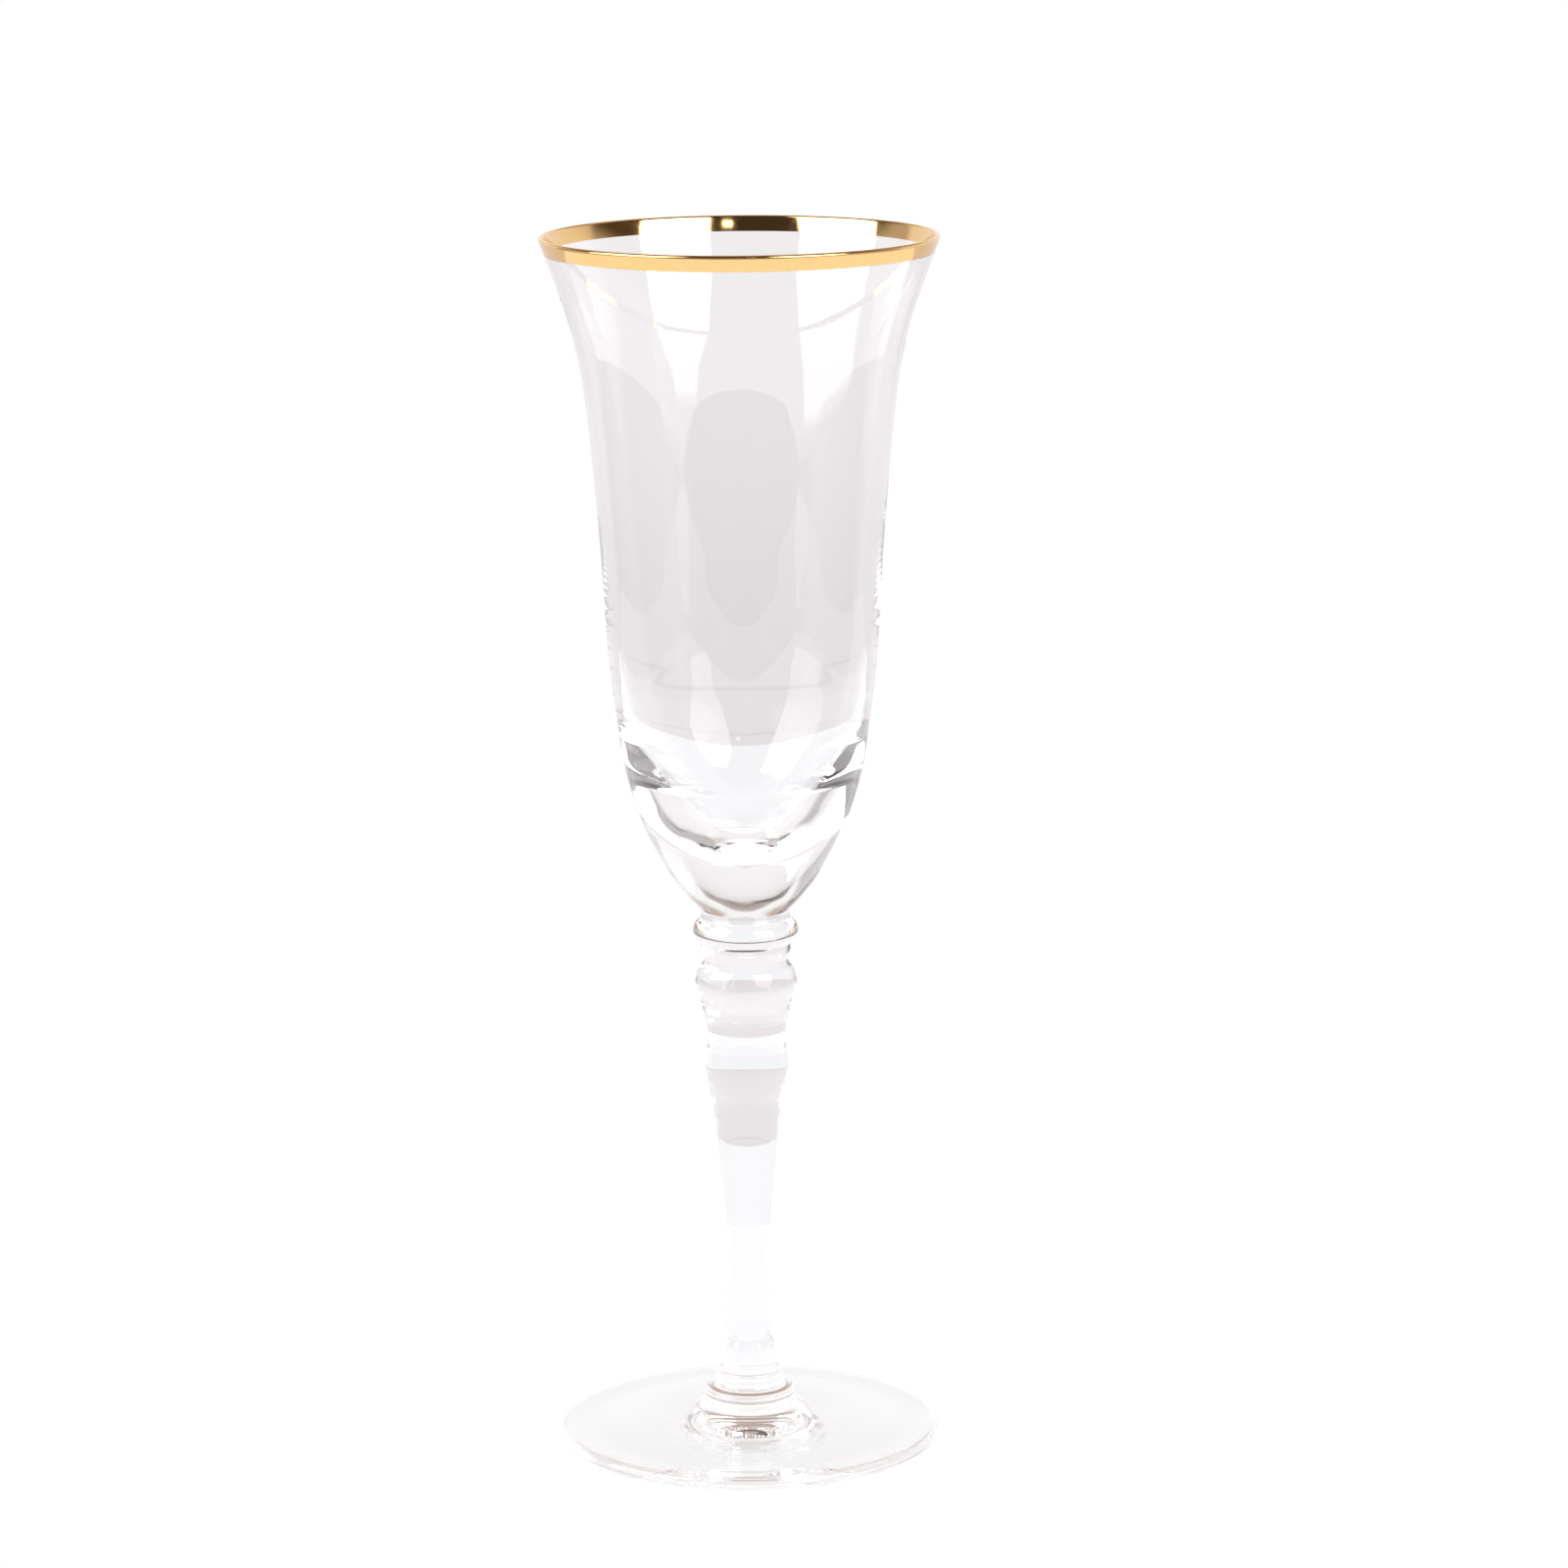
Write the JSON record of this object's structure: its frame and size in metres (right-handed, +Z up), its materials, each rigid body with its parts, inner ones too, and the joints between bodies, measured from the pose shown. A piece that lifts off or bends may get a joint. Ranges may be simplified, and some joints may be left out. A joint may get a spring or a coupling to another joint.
{
  "type": "champagne flute",
  "caption": "Tall flared champagne flute with a clear blown glass bowl, gold-banded lip, beaded and tapered solid stem, and a round foot.",
  "frame": {"origin": "centre of the standing ring under the foot, on the surface that the glass stands on", "axes": "+Z up along the stem, from the foot to the lip; the glass is turned about Z, and -Y faces the viewer"},
  "size_m": [0.074, 0.074, 0.23],
  "materials": {
    "clear_glass": "clear, fire-polished",
    "fired_gold": "bright fired gold film"
  },
  "bodies": {
    "root": {"gold_rim_band": "fired_gold", "bowl": "clear_glass", "merese_ring": "clear_glass", "neck_bead": "clear_glass", "stem_knop": "clear_glass", "stem_shank": "clear_glass", "foot_post": "clear_glass", "foot_collar": "clear_glass", "foot": "clear_glass"}
  },
  "joints": []
}
